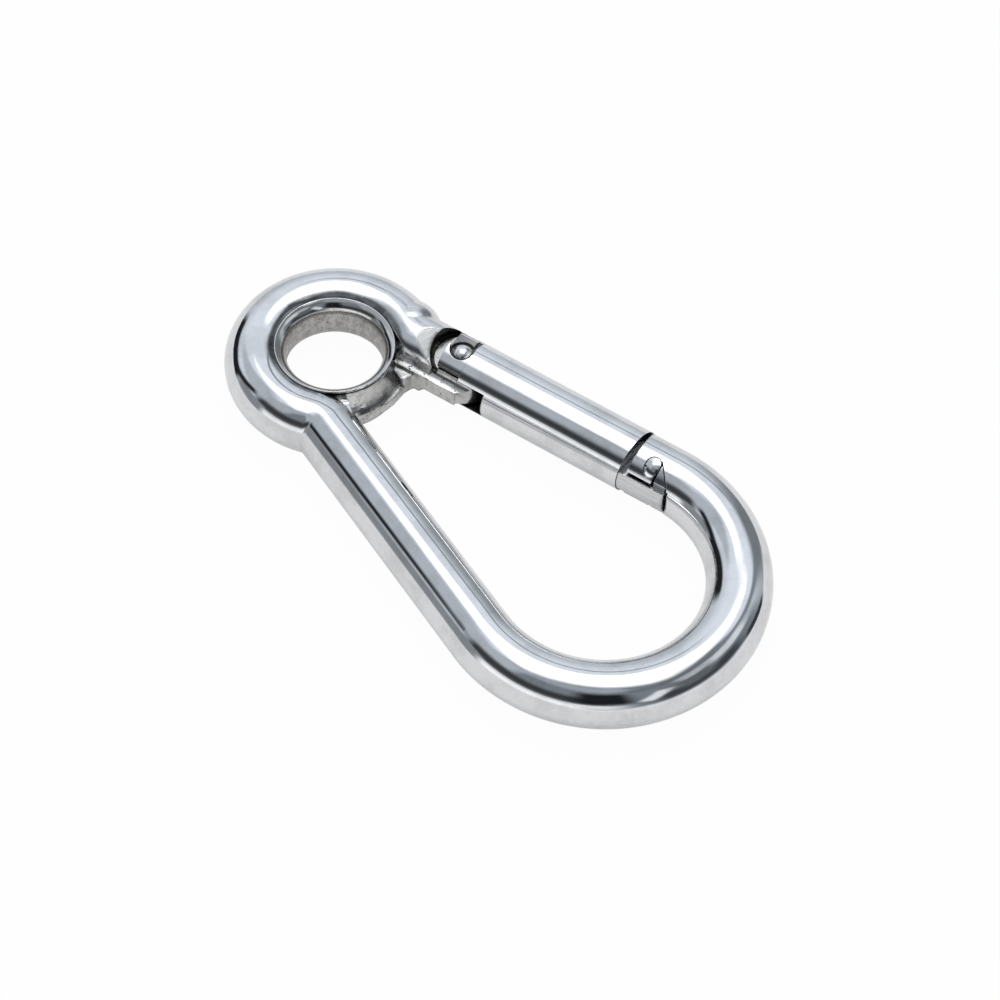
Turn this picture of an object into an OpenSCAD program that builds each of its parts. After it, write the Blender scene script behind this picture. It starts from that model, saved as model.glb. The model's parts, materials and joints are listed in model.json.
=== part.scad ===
// Eye snap hook: a round steel bar bent to a pear, with a pressed-in eyelet at its small end
// and a sprung gate along one side. The gate turns on a rivet in a flattened tongue of the bar.
// The T-shaped head of its latch tongue hooks behind a pin across the hook's nose, so that the
// closed gate takes load.
//
// Millimetres. The origin is the centre of the eye in the bar's mid-plane, +X runs towards the
// big bend, +Y towards the gate and +Z along the eye's bore.
//
// The gate's pieces are drawn in the hinge frame: origin on the rivet's axis, +X along the gate
// towards the nose and +Y out of the hook.

/* [Bar] */
// Diameter of the bar
bar_d = 10; // [9:0.25:11]
// Centreline radius of the big bend
bend_r = 20.8; // [19:0.2:23]
// Distance from the eye's centre to the big bend's centre
eye_to_bend = 56; // [52:0.5:60]
// Angle between the hook's long axis and the spine
spine_angle = 13.3; // [12:0.1:15]
// Angle between the hook's long axis and the gate
gate_angle = 10.9; // [9.5:0.1:12]
// How far the loop's centre lies from the eye's, towards the gate
loop_shift = 0.25; // [0:0.05:0.4]
// Radius of the swelling that the forging left at the gate's end of the loop
neck_r = 5.05; // [5:0.01:5.1]
// Distance from the rivet back to the middle of that swelling
neck_x = 10.65; // [10.3:0.05:11]
// How far its middle lies outside the bar's axis
neck_out = 1.45; // [1.1:0.05:1.7]
// Space left at the inside of the two elbows beside the eye
elbow_gap = 0.2; // [0.1:0.05:0.6]

/* [Eyelet] */
// Diameter of the eyelet's bore
eye_bore_d = 15; // [13:0.25:16]
// Wall of the eyelet at its waist
eyelet_wall = 1; // [0.8:0.1:1.4]
// Height of the eyelet's upper rim over the bar's mid-plane
eyelet_top = 4.4; // [4:0.1:4.7]
// Depth of the eyelet's lower rim under the mid-plane
eyelet_low = 3.7; // [3.4:0.1:4.4]
// Radius that opens the bore out to the upper rim
flare_top_r = 2.7; // [2.2:0.1:3]
// Radius that opens the bore out to the lower rim
flare_low_r = 4.2; // [3:0.1:4.4]
// How far each rim stands out past the waist
rim_out = 0.9; // [0.6:0.05:1.2]
// Height of the outer cone under each rim
flare_h = 1.8; // [1.4:0.1:2]
// Width of the bevel on the edge of each rim
rim_edge = 0.2; // [0.1:0.05:0.4]
// Gap between the eyelet and its seat
seat_gap = 0.02; // [0.01:0.01:0.05]
// How deep the eyelet's waist is let into the bar's loop
seat_depth = 1.2; // [0.8:0.05:1.6]
// Thickness of the web between the eyelet and the spine
spine_web_t = 6.6; // [5:0.2:7.4]
// Where the spine's web starts and ends round the eye, from the +X axis
spine_web_arc = [62, 34]; // [20:1:80]
// Distance from the eye's centre to the web's corner on the spine
spine_web_reach = 14; // [13:0.1:14.6]
// Angles over which the forged bridge closes the eye, below and above the +X axis
bridge_arc = [58, 45]; // [40:1:62]
// Outer radius of the band along the bridge's lower edge
band_r = 10.4; // [10:0.1:10.8]
// Height of the crease between that band and the bridge's hollow wall
crease_z = -1.2; // [-1.6:0.1:-0.8]
// Radius of the bridge at its upper edge
bridge_top_r = 9; // [8.8:0.05:9.2]
// Height of the bridge's upper edge
bridge_top = 3.2; // [2.8:0.05:3.25]
// Depth of the bridge's lower edge
bridge_low = 3.6; // [3.4:0.05:3.65]
// Radius of the hollow in the bridge's wall
hollow_r = 5; // [4:0.5:9]

/* [Hinge tongue] */
// Distance from the start of the big bend back to the rivet
hinge_run = 38.1; // [36.5:0.1:39]
// Thickness of the tongue
tongue_t = 4.2; // [3.6:0.1:4.6]
// Height of the tongue's middle over the bar's mid-plane
tongue_rise = 0.3; // [0:0.05:0.4]
// How far the tongue is spread inwards past the bar's axis
tongue_in = 5.6; // [5.3:0.1:6]
// Radius of the scoop along the tongue's upper inner edge
scoop_r = 1.9; // [1.6:0.1:2.4]
// Depth of that scoop below the tongue's top
scoop_d = 1.3; // [0.8:0.1:1.5]
// Height of the forged root between tongue and bridge
root_top = 0.4; // [0:0.1:0.8]
// Depth of that root under the mid-plane
root_low = 3; // [2.6:0.1:3.2]
// Slope at which the root's underside rises to the tongue's
root_ease = 50; // [40:1:65]
// Radius of the tongue's round tip about the rivet
tip_r = 5.85; // [5.6:0.05:6]
// Distance from the rivet to the cam flat on the tip
cam_x = 5.2; // [5:0.05:5.4]
// How much thinner the tip is on each face
tip_step = 0.3; // [0.1:0.05:0.5]
// Distance from the rivet to the shoulder where the tip starts
tip_x = 2.3; // [2:0.1:2.8]
// Distance from the rivet back to the middle of the flat ground on the bar
facet_x = 4.95; // [4.6:0.05:5.3]
// Height of that flat at its middle
facet_z = 4.45; // [4.2:0.05:4.6]
// Slope of the flat towards the hinge
facet_slope = 17; // [12:0.5:22]
// Slope of the flat towards the inside of the hook
facet_roll = 13.5; // [8:0.5:18]

/* [Gate] */
// Diameter of the gate
gate_d = 10.2; // [9.6:0.1:10.6]
// Diameter of the two ears
ear_d = 9.8; // [9.2:0.1:10]
// Length of the ears behind the rivet
ear_back = 2.2; // [2:0.05:2.4]
// Radius about the rivet to which the back of the ears is rounded
ear_swing_r = 4.7; // [4.5:0.05:4.8]
// Distance from the rivet to the step between ears and gate
ear_front = 1.95; // [1.8:0.05:2.2]
// Distance from the gate's axis to the flat inside each ear
ear_flat = 3.6; // [3.2:0.1:4]
// Distance from the rivet to the end of the gate's slot
slot_x = 6.7; // [6.4:0.05:7]
// Gap between the tongue and each ear
ear_gap = 0.3; // [0.2:0.05:0.4]
// Height of the flat that is milled across the back of each ear
spot_z = 4; // [3.8:0.05:4.2]
// Distance from the rivet to the front of that flat
spot_x = 0.95; // [0.6:0.05:1.2]
// How far that flat reaches inside the gate's axis
spot_in = 0.15; // [0:0.05:0.6]
// Radius of the sunk face round the rivet's head
sink_r = 2.05; // [1.9:0.05:2.3]
// Height of that sunk face
sink_z = 3.5; // [3.4:0.05:3.7]
// Distance from the rivet to the gate's shoulder on its outer side
shoulder_out_x = 32.05; // [31.5:0.05:32.1]
// Slope of the shoulder, as the length lost from its outer to its inner side
shoulder_slope = 0.85; // [0.4:0.05:1.2]

/* [Rivet] */
// Diameter of the rivet's shank
rivet_d = 2.6; // [2.2:0.1:2.8]
// Diameter of the rivet's heads
rivet_head_d = 2.8; // [2.7:0.1:3.2]
// Height of the straight side of each head
rivet_side = 0.65; // [0.4:0.05:0.75]
// Height of the dome on each head
rivet_dome = 0.6; // [0.4:0.05:0.7]
// Radial running gap of the rivet in the tongue
rivet_gap = 0.06; // [0.03:0.01:0.09]

/* [Nose and latch] */
// Width of the slot in the nose
nose_slot_w = 4.8; // [4.6:0.1:5.2]
// Wall left outside the nose's slot
nose_wall = 2.1; // [1.6:0.1:2.6]
// Thickness of the gate's latch tongue
latch_t = 3.9; // [3.4:0.1:4.2]
// Distance from the rivet to the end of the latch tongue
latch_end_x = 39.25; // [38.6:0.05:39.4]
// Corner radius of the latch tongue
latch_corner_r = 1.2; // [0.6:0.1:1.6]
// Gap between the latch tongue and the closed end of its slot
latch_end_gap = 0.45; // [0.3:0.05:0.8]
// How far the latch tongue's inner face lies below the gate's surface
latch_sink = 0.15; // [0.05:0.05:0.3]
// Place of the latch pin along the gate, from the rivet
latch_x = 35.7; // [35.6:0.05:35.8]
// Metal left between the latch pin and the inner edge of the nose's cheeks
latch_cover = 0.74; // [0.65:0.01:0.8]
// Width of the latch pin along the gate
latch_pin_w = 2.2; // [2:0.05:2.3]
// Length of the latch pin's oblong section across the gate
latch_pin_l = 2.8; // [2.6:0.05:2.9]
// How far the pin's crowned ends stand over the bar
pin_proud = 0.12; // [0.05:0.01:0.2]
// Radius of those crowned ends
pin_crown_r = 3; // [2.8:0.1:3.6]
// Width of the groove round each end of the pin
groove_w = 0.13; // [0.05:0.01:0.2]
// Depth of that groove
groove_d = 0.35; // [0.2:0.05:0.6]
// Distance from the rivet to the tips of the nose's cheeks
cheek_x = 36.6; // [36.5:0.05:36.65]
// How far outside the pin's middle the recess behind the tips starts
recess_out = 1.35; // [1.25:0.05:1.6]
// Slope of the recess's outer wall against the axis
recess_slope = 49.5; // [46:0.5:54]
// Width of the bevel on the inner edges of the nose's slot
slot_ease = 0.4; // [0.2:0.05:0.6]
// Lean of that bevel against the gate's swing
slot_ease_lean = 31; // [20:1:45]
// Distance from the rivet to the near wall of the latch tongue's notch
notch_x = 34.35; // [34.2:0.05:34.4]
// Gap between the latch pin and the notch's floor
notch_gap = 0.25; // [0.2:0.05:0.35]
// Distance from the rivet to the hook behind the notch
hook_x = 37.05; // [37:0.05:37.15]
// Radius of the outer face of the hook's two arms
arm_r = 4.97; // [4.8:0.01:5]
// Gap between the arms and the recess's outer wall
arm_gap = 0.15; // [0.12:0.01:0.25]

/* [Spring and plunger] */
// Diameter of the bore for spring and plunger
bore_d = 3.8; // [3.4:0.1:4]
// Depth of that bore from the end of the gate's slot
bore_l = 18; // [15:0.5:20]
// Radial running gap of the plunger in its bore
plunger_gap = 0.06; // [0.03:0.01:0.09]
// Length of the plunger
plunger_l = 4.2; // [3.6:0.1:5]
// Gap between the plunger and the cam flat with the gate closed
cam_gap = 0.03; // [0.02:0.01:0.05]
// Diameter of the spring's wire
wire_d = 0.6; // [0.45:0.05:0.7]
// Radial gap between the spring and its bore
spring_gap = 0.2; // [0.15:0.05:0.3]
// Turns of the spring
turns = 9; // [6:1:11]

/* [Moving gaps] */
// Gap kept between the turning gate and the hook
swing_gap = 0.3; // [0.2:0.05:0.4]
// Gap kept between the swinging shoulder and the nose's end
nose_gap = 0.15; // [0.1:0.01:0.3]

/* [Hidden] */
$fn = 96;
ring_steps = 14;            // points on each turn of the spring
wire_sides = 6;             // sides of the spring's wire
over = 1;                   // overrun of a cut past what it cuts
big = 2*bar_d;              // longer than anything it has to clear
hair = 0.01;                // slack of a fixed pin in its hole
lap = 0.15;                 // how far one stretch of the bar runs into the next
lap_step = 0.016;           // and how much thinner it is there, so that the faces never coincide

bar_r = bar_d/2;
leg_d = bar_d - 2*lap_step;
gate_r = gate_d/2;
ear_r = ear_d/2;
bore_r = eye_bore_d/2;
waist_r = bore_r + eyelet_wall;
rim_r = waist_r + rim_out;
flare_reach = rim_r - rim_edge - bore_r;
loop_r = waist_r + bar_r - seat_depth;
elbow_r = bar_r + elbow_gap;

// Both legs of the pear, as [angle, shift of the loop's centre towards that leg]: how far each
// axis passes the loop's centre, how far its elbow's centre lies from that centre's foot on the
// axis, and the angle that the elbow turns.
gate_leg = [gate_angle, loop_shift];
spine_leg = [spine_angle, -loop_shift];
function leg_off(leg) = bend_r - eye_to_bend*sin(leg[0]) - leg[1]*cos(leg[0]);
function leg_foot(leg) = eye_to_bend*cos(leg[0]) - leg[1]*sin(leg[0]);
function elbow_reach(leg) = sqrt(pow(loop_r + elbow_r, 2) - pow(leg_off(leg) + elbow_r, 2));
function elbow_turn(leg) = acos((leg_off(leg) + elbow_r)/(loop_r + elbow_r));
function elbow_start(leg) = elbow_reach(leg) - leg_foot(leg);
function loop_start(leg) = leg[0] + 90 - elbow_turn(leg);

tongue_lo = tongue_rise - tongue_t/2;
tongue_hi = tongue_rise + tongue_t/2;
slot_lo = tongue_lo - ear_gap;
slot_hi = tongue_hi + ear_gap;
pocket_r = ear_swing_r + swing_gap;
shoulder_x = ear_back + swing_gap + 0.4;

nose_end_r = norm([shoulder_out_x, gate_r]) + nose_gap;
nose_slot_out = bar_r - nose_wall;
latch_out = nose_slot_out - swing_gap;
nose_slot_x = latch_end_x + latch_end_gap;

plunger_r = bore_d/2 - plunger_gap;
plunger_x = cam_x + cam_gap;
bore_end = slot_x + bore_l;
spring_x = plunger_x + plunger_l;
spring_l = bore_end - spring_x;
latch_in = sqrt(bar_r*bar_r - nose_slot_w*nose_slot_w/4) - latch_cover - latch_pin_l/2;
recess_in = latch_in - recess_out;
notch_in = latch_in + latch_pin_l/2 + notch_gap;
coil_r = bore_d/2 - spring_gap - wire_d/2;

// ---- frames and small helpers ----

// The frame of one leg: origin at the big bend's centre, -X along the leg towards the eye
module leg_frame(a) { translate([eye_to_bend, 0, 0]) rotate([0, 0, a]) children(); }

// The hinge frame of the gate
module at_hinge() { leg_frame(gate_angle) translate([-hinge_run, bend_r, 0]) children(); }

// Its children above and below the mid-plane
module both_faces() { children(); mirror([0, 0, 1]) children(); }

// A round rod along X from x0 to x1
module rod(d, x0, x1) { translate([x0, 0, 0]) rotate([0, 90, 0]) cylinder(d = d, h = x1 - x0); }

// A prism along X from x0 to x1, from an outline in Y and Z
module prism(x0, x1) { translate([x0, 0, 0]) rotate([90, 0, 90]) linear_extrude(x1 - x0) children(); }

// A bent stretch of round bar that turns by an angle about the Z axis
module bent(r, turn, d) { rotate_extrude(angle = turn) translate([r, 0]) circle(d = d); }

// A plate between two heights, from a flat outline
module plate(z0, z1) { translate([0, 0, z0]) linear_extrude(z1 - z0) children(); }

// An upright oblong outline, its long side across the gate
module oblong(w, l) {
    for (side = [-1, 1]) translate([0, side*(l - w)/2]) circle(d = w);
    square([w, l - w], center = true);
}

// ---- hook body ----

// The elbow that leads from one leg into the loop round the eye
module elbow(leg) {
    lap_turn = asin(lap/elbow_r);
    leg_frame(leg[0]) translate([elbow_start(leg), bend_r + elbow_r, 0])
        rotate([0, 0, -90 - elbow_turn(leg) - lap_turn])
            bent(elbow_r, elbow_turn(leg) + lap_turn, bar_d - lap_step);
}

// The spine from the big bend to its elbow
module spine() {
    mirror([0, 1, 0]) {
        leg_frame(spine_angle) translate([0, bend_r, 0]) rod(leg_d, elbow_start(spine_leg) - lap, lap);
        elbow(spine_leg);
    }
}

// The big bend, and the loop round the eye with the swelling at its end
module bends() {
    translate([eye_to_bend, 0, 0]) rotate([0, 0, -90 - spine_angle])
        bent(bend_r, 180 + spine_angle + gate_angle, bar_d);
    translate([0, loop_shift, 0]) rotate([0, 0, loop_start(gate_leg)])
        bent(loop_r, 360 - loop_start(gate_leg) - loop_start(spine_leg), bar_d);
    at_hinge() translate([-neck_x, neck_out, 0]) rotate([-90, 0, 0]) rotate([0, 90, 0]) sphere(r = neck_r);
}

// The stub of bar behind the hinge, hollowed for the swinging ears, with a flat ground on each face
module hinge_stub() {
    root_x = hinge_run + elbow_start(gate_leg);
    elbow(gate_leg);
    at_hinge() difference() {
        rod(leg_d, root_x - lap, -shoulder_x);
        both_faces() {
            cylinder(r = pocket_r, h = big);
            translate([-facet_x, 0, facet_z]) rotate([facet_roll, facet_slope, 0])
                translate([-big, -big, 0]) cube([2*big, 2*big, big]);
        }
    }
}

// The flattened tongue: round on its outer side, spread inwards, with a scooped upper edge
module tongue() {
    root_x = pocket_r + over;
    spread_x = root_x + 3;
    at_hinge() difference() {
        union() {
            intersection() {
                rod(leg_d, -root_x, tip_x);
                plate(tongue_lo, tongue_hi) translate([-root_x, -big/2]) square([root_x + tip_x, big]);
            }
            plate(tongue_lo, tongue_hi)
                translate([-spread_x, -tongue_in]) square([spread_x + tip_x, tongue_in]);
            plate(tongue_lo + tip_step, tongue_hi - tip_step) intersection() {
                circle(r = tip_r);
                translate([0, -tongue_in]) square([cam_x, tongue_in + bar_r - tip_step]);
            }
        }
        translate([0, -tongue_in, tongue_hi - scoop_d + scoop_r])
            rod(2*scoop_r, -spread_x - over, tip_r + over);
        cylinder(d = rivet_d + 2*rivet_gap, h = big, center = true);
    }
}

// The web of metal between the eyelet and the spine
module spine_web() {
    function at(r, a) = r*[cos(a), -sin(a)];
    plate(-spine_web_t/2, spine_web_t/2) polygon([
        at(bore_r, spine_web_arc[0]),
        at(bore_r, spine_web_arc[1]),
        at(spine_web_reach, spine_web_arc[1] - 2),
        at(loop_r, 45),
        at(0.86*loop_r, 68)]);
}

// The forged root between the tongue and the bridge, kept clear of the swinging ears: a low
// part that runs out along the bridge's band, and a high part under the tongue
module tongue_root() {
    start_x = -pocket_r + 1.7;
    low_x = start_x - (root_low + tongue_lo)/tan(root_ease);
    ear_side = [
        [start_x, -0.82*pocket_r],
        [-0.74*pocket_r, -0.7*pocket_r],
        [-0.94*pocket_r, -0.44*pocket_r],
        [-pocket_r - 0.2, 0],
        [-pocket_r - 4, 0],
        [-pocket_r - 6, -bar_r]];
    tongue_side = [
        [-pocket_r - 0.85, -tongue_in - 1.6],
        [-pocket_r - 0.4, -tongue_in - 0.3],
        [-pocket_r - 0.1, -tongue_in + 0.02],
        [start_x, -tongue_in + 0.02]];
    at_hinge() difference() {
        union() {
            plate(-root_low, crease_z - 0.1) polygon(concat(ear_side, [
                [-pocket_r - 4.5, -tongue_in - 7],
                [-pocket_r - 1.7, -tongue_in - 7],
                [-pocket_r - 1.2, -tongue_in - 5.9],
                [-pocket_r - 0.9, -tongue_in - 4.4]], tongue_side));
            plate(-root_low + 0.1, root_top) polygon(concat(ear_side, [
                [-pocket_r - 3.9, -tongue_in - 0.6],
                [-pocket_r - 1.3, -tongue_in - 1.8]], tongue_side));
        }
        translate([low_x, 0, -root_low]) rotate([0, -root_ease, 0])
            translate([0, -big, -big]) cube([2*big, 2*big, big]);
    }
}

// Centre of the hollow that passes through the bridge's crease and its upper edge
function hollow_centre() =
    let (low = [band_r, crease_z], rise = [bridge_top_r, bridge_top] - low, half = norm(rise)/2)
    low + rise/2 + sqrt(hollow_r*hollow_r - half*half)*[rise[1], -rise[0]]/(2*half);

// The bridge that closes the eye between the two legs: a hollow wall over a plain band
module bridge() {
    rotate([0, 0, -bridge_arc[0]]) rotate_extrude(angle = bridge_arc[0] + bridge_arc[1]) difference() {
        polygon([[bore_r, -bridge_low], [band_r, -bridge_low], [band_r, crease_z],
            [bridge_top_r, bridge_top], [bore_r, bridge_top]]);
        translate(hollow_centre()) circle(r = hollow_r);
    }
}

// The nose: the end of the bar that the closed gate meets, cut round about the rivet
module nose() {
    at_hinge() difference() {
        rod(leg_d, nose_end_r - 2, hinge_run + lap);
        cylinder(r = nose_end_r, h = big, center = true);
    }
}

// What is cut from the nose: its slot, the hole of the latch pin, and the recess that the
// latch tongue's arms fill
module nose_cuts() {
    half = nose_slot_w/2;
    ease_in = slot_ease - sqrt(bar_r*bar_r - half*half);
    ease_out = ease_in - over*tan(slot_ease_lean);
    recess_run = (big - recess_in)/tan(recess_slope);
    at_hinge() {
        prism(nose_end_r - 3, nose_slot_x) polygon([
            [nose_slot_out, half], [ease_in, half], [ease_out, half + over], [-big, half + over],
            [-big, -half - over], [ease_out, -half - over], [ease_in, -half], [nose_slot_out, -half]]);
        plate(-big, big) polygon([
            [cheek_x, -big], [cheek_x, -recess_in], [cheek_x + recess_run, -big]]);
        translate([latch_x, -latch_in, 0]) {
            plate(-big, big) oblong(latch_pin_w + 2*hair, latch_pin_l + 2*hair);
            difference() {
                plate(-big, big) oblong(latch_pin_w + 2*groove_w, latch_pin_l + 2*groove_w);
                translate([0, latch_in, 0]) rod(bar_d - 2*groove_d, -latch_pin_w, latch_pin_w);
            }
        }
    }
}

module hook_body() {
    color([0.80, 0.82, 0.84]) difference() {
        union() {
            bends();
            spine();
            hinge_stub();
            tongue();
            tongue_root();
            spine_web();
            bridge();
            nose();
        }
        rotate_extrude() eyelet_outline(seat_gap, over);
        nose_cuts();
    }
}

// ---- eyelet ----

// Half outline of the eyelet without its bore, grown by a gap and stretched past its rims
module eyelet_outline(gap, past) {
    edge = past > 0 ? 0 : rim_edge/2;
    polygon([
        [0, -eyelet_low - past], [rim_r - edge + gap, -eyelet_low - past],
        [rim_r + gap, rim_edge - eyelet_low], [waist_r + gap, rim_edge + flare_h - eyelet_low],
        [waist_r + gap, eyelet_top - flare_h - rim_edge], [rim_r + gap, eyelet_top - rim_edge],
        [rim_r - edge + gap, eyelet_top + past], [0, eyelet_top + past]]);
}

// What one round opens the bore by, up to a rim at height h
module flare_cut(r, h) {
    start = h - sqrt(r*r - pow(r - flare_reach, 2));
    difference() {
        translate([bore_r - over, start]) square([flare_reach + over, h + over - start]);
        translate([bore_r + r, start]) circle(r = r);
    }
}

// A spool with flared rims, its bore rolled out to each rim in a round
module eyelet() {
    color([0.72, 0.72, 0.71]) rotate_extrude() difference() {
        eyelet_outline(0, 0);
        translate([-over, -big]) square([bore_r + over, 2*big]);
        flare_cut(flare_top_r, eyelet_top);
        mirror([0, 1]) flare_cut(flare_low_r, eyelet_low);
    }
}

// ---- gate ----

// The flat tongue on the gate's end that enters the nose's slot, notched for the latch pin
module latch_tongue() {
    x0 = shoulder_out_x - shoulder_slope - over;
    c = latch_corner_r;
    intersection() {
        rod(gate_d - 2*latch_sink, x0, latch_end_x);
        plate(-latch_t/2, latch_t/2) difference() {
            union() {
                translate([x0, -gate_r]) square([latch_end_x - c - x0, gate_r + latch_out]);
                translate([x0, c - gate_r]) square([latch_end_x - x0, gate_r + latch_out - 2*c]);
                for (y = [c - gate_r + latch_sink, latch_out - c])
                    translate([latch_end_x - c, y]) circle(r = c);
            }
            translate([notch_x, -notch_in]) square([hook_x - notch_x, big]);
        }
    }
}

// The two arms of the T-shaped head, which fill the recess in the nose's cheeks
module latch_arms() {
    x0 = hook_x - 0.05;
    y0 = 0.03 - notch_in;
    wall_x = cheek_x - arm_gap/sin(recess_slope);
    function wall_y(x) = -recess_in - (x - wall_x)*tan(recess_slope);
    x1 = wall_x - (y0 + recess_in)/tan(recess_slope);
    intersection() {
        rod(2*arm_r, x0 - over, x1 + over);
        plate(-big, big) polygon([[x0, y0], [x0, wall_y(x0)], [x1, y0]]);
    }
}

// The flat across the back of an ear, and the sunk face round the rivet's head
module spot_face() {
    translate([-big, -spot_in, spot_z]) cube([big + spot_x, big, big]);
    translate([0, 0, sink_z]) {
        cylinder(r = sink_r, h = big);
        translate([spot_x, 0, 0]) cube([ear_front - spot_x, big, big]);
    }
}

module gate() {
    inner_x = shoulder_out_x - shoulder_slope;
    color([0.78, 0.80, 0.83]) at_hinge() difference() {
        union() {
            rod(ear_d, 0, ear_front + hair);
            intersection() {
                rod(ear_d, -ear_back, hair);
                cylinder(r = ear_swing_r, h = big, center = true);
            }
            intersection() {
                rod(gate_d, ear_front, shoulder_out_x + over);
                plate(-big, big) polygon([[ear_front, -big], [inner_x, -big], [inner_x, -gate_r],
                    [shoulder_out_x, gate_r], [shoulder_out_x, big], [ear_front, big]]);
            }
            latch_tongue();
            latch_arms();
        }
        translate([-big, -big, slot_lo]) cube([big + slot_x, 2*big, slot_hi - slot_lo]);
        translate([-big, -big - ear_flat, -big]) cube([big + ear_front, big, 2*big]);
        both_faces() spot_face();
        cylinder(d = rivet_d + 2*hair, h = big, center = true);
        translate([0, 0, tongue_rise]) rod(bore_d, slot_x - over, bore_end);
    }
}

// ---- small pieces ----

// A rivet with a domed head in each sunk face
module hinge_rivet() {
    head_r = rivet_head_d/2;
    dome_r = (head_r*head_r + rivet_dome*rivet_dome)/(2*rivet_dome);
    dome_z = sink_z + rivet_side;
    color([0.86, 0.87, 0.88]) at_hinge() {
        cylinder(d = rivet_d, h = 2*sink_z, center = true);
        both_faces() intersection() {
            translate([0, 0, sink_z]) cylinder(r = head_r, h = rivet_side + rivet_dome + over);
            translate([0, 0, dome_z + rivet_dome - dome_r]) sphere(r = dome_r);
        }
    }
}

// An oblong pin across the nose's slot, its crowned ends square to the bar's surface
module latch_pin() {
    lean = asin(latch_in/bar_r);
    crown_at = bar_r + pin_proud - pin_crown_r;
    core = nose_slot_w/2 + slot_ease;
    color([0.84, 0.85, 0.86]) at_hinge() {
        translate([latch_x, -latch_in, 0]) plate(-core, core) oblong(latch_pin_w, latch_pin_l);
        both_faces() intersection() {
            translate([latch_x, -crown_at*sin(lean), crown_at*cos(lean)]) sphere(r = pin_crown_r);
            translate([latch_x, -latch_in, 0]) plate(core - lap, bar_d) oblong(latch_pin_w, latch_pin_l);
        }
    }
}

// The round-nosed plunger that the spring presses on the tongue's cam flat
module gate_plunger() {
    color([0.60, 0.60, 0.58]) at_hinge() translate([plunger_x, 0, tongue_rise]) {
        rod(2*plunger_r, plunger_r, plunger_l);
        translate([plunger_r, 0, 0]) sphere(r = plunger_r);
    }
}

// Points of one ring of the spring's wire, at a share t of the way along the coil
function wire_ring(t) =
    let (turn = 360*turns*t,
         x = spring_x + wire_d/2 + hair + (spring_l - wire_d - 2*hair)*t)
    [for (k = [0:wire_sides - 1])
        let (a = 360*k/wire_sides, r = coil_r + wire_d/2*cos(a))
        [x + wire_d/2*sin(a), r*cos(turn), r*sin(turn)]];

// A helical compression spring between the plunger and the end of its bore
module gate_spring() {
    rings = ceil(turns*ring_steps);
    points = [for (i = [0:rings]) for (p = wire_ring(i/rings)) p];
    sides = [for (i = [0:rings - 1]) for (k = [0:wire_sides - 1])
        let (a = i*wire_sides, n = (k + 1) % wire_sides)
        [a + k, a + n, a + wire_sides + n, a + wire_sides + k]];
    first = [for (k = [0:wire_sides - 1]) wire_sides - 1 - k];
    last = [for (k = [0:wire_sides - 1]) rings*wire_sides + k];
    color([0.45, 0.45, 0.44]) at_hinge() translate([0, 0, tongue_rise])
        polyhedron(points, concat(sides, [first, last]));
}

hook_body();
eyelet();
gate();
hinge_rivet();
latch_pin();
gate_plunger();
gate_spring();
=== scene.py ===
"""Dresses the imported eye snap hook: polished, milled and forged steel, a white studio and the camera."""

from __future__ import annotations

import json
import logging
import math
from dataclasses import dataclass, replace
from enum import Enum

import bpy
from mathutils import Matrix, Vector


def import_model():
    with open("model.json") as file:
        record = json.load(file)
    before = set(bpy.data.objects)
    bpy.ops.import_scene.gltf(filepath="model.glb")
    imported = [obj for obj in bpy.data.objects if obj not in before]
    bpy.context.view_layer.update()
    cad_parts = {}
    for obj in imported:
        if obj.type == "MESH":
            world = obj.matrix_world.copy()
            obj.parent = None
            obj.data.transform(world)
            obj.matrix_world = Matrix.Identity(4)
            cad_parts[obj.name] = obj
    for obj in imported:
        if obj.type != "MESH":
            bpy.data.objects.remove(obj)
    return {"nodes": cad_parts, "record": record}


LOG = logging.getLogger("scene")
MM = 0.001
MICRON = 1e-6
HALF_TURN = 180.0
# Rays at each point that look for corners, where dirt and painted shade darken the steel, and for edges to
# round off.
CORNER_RAYS, EDGE_RAYS = 5, 4
# What makes a Map Range node run smoothly from its first limit to its second, whichever is lower.
SMOOTH = {"interpolation_type": "SMOOTHSTEP"}
# The soft edge of a finish that keeps to one face, in millimetres.
FACE_SOFT = 0.02

Colour = tuple[float, float, float, float]
Node = bpy.types.Node
Source = Node | bpy.types.NodeSocket
Number = float | Source
Span = tuple[float, float]
Triple = tuple[float, float, float]


def hex_linear(code: str) -> Colour:
    """Turns an sRGB colour code into a linear colour.

    Args:
        code: Six hexadecimal digits.

    Returns:
        The linear red, green, blue and an alpha of 1.
    """
    channels = [int(code[i : i + 2], 16) / 255 for i in (0, 2, 4)]
    linear = [c / 12.92 if c <= 0.04045 else ((c + 0.055) / 1.055) ** 2.4 for c in channels]
    return (linear[0], linear[1], linear[2], 1.0)


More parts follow.
